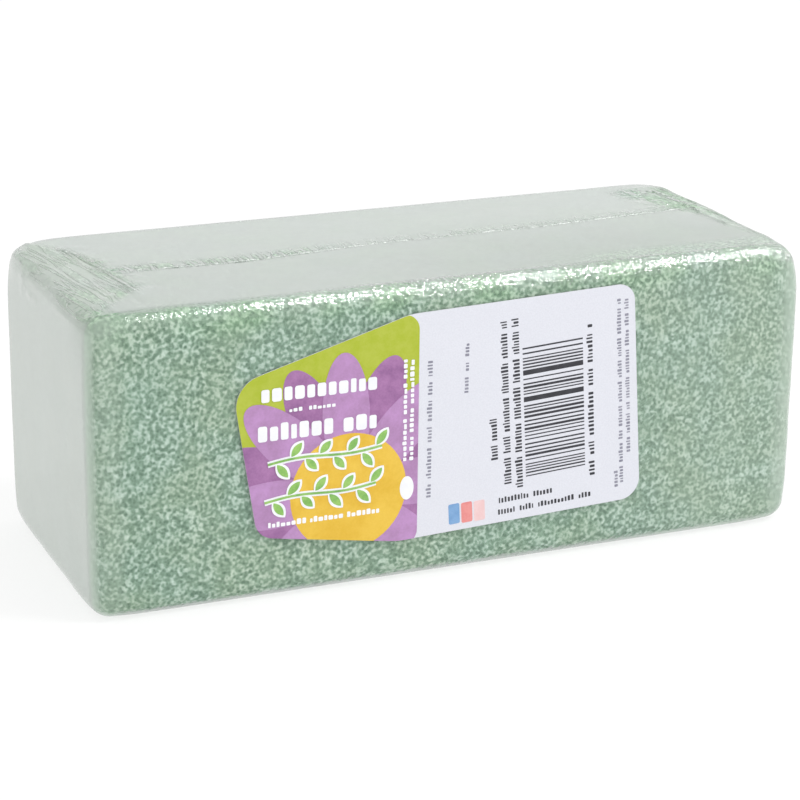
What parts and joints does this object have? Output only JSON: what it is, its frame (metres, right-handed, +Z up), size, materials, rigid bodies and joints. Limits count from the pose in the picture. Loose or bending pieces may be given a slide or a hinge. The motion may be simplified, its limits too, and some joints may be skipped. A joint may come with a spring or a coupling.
{
  "type": "floral foam brick",
  "caption": "Rectangular dry foam brick for pushing flower stems into, sealed in clear shrink film with a printed die-cut label on its front.",
  "frame": {"origin": "on the surface that the brick rests on, under the middle of the brick", "axes": "+X along the brick, +Y towards its back, +Z up; the label is on the front, which faces -Y"},
  "size_m": [0.1242, 0.0498, 0.0499],
  "materials": {
    "foam": "dry sage green polystyrene foam with small open-cut cells, matt and rough",
    "film": "clear glossy shrink film with fine gathers at the ends",
    "seam": "milky melted film bead",
    "label": "white satin sticker printed in lime, purple, orange and black"
  },
  "bodies": {
    "root": {"foam_block": "foam", "film_wrap": "film", "top_seam": "seam", "left_end_seam": "seam", "right_end_seam": "seam", "label": "label"}
  },
  "joints": []
}
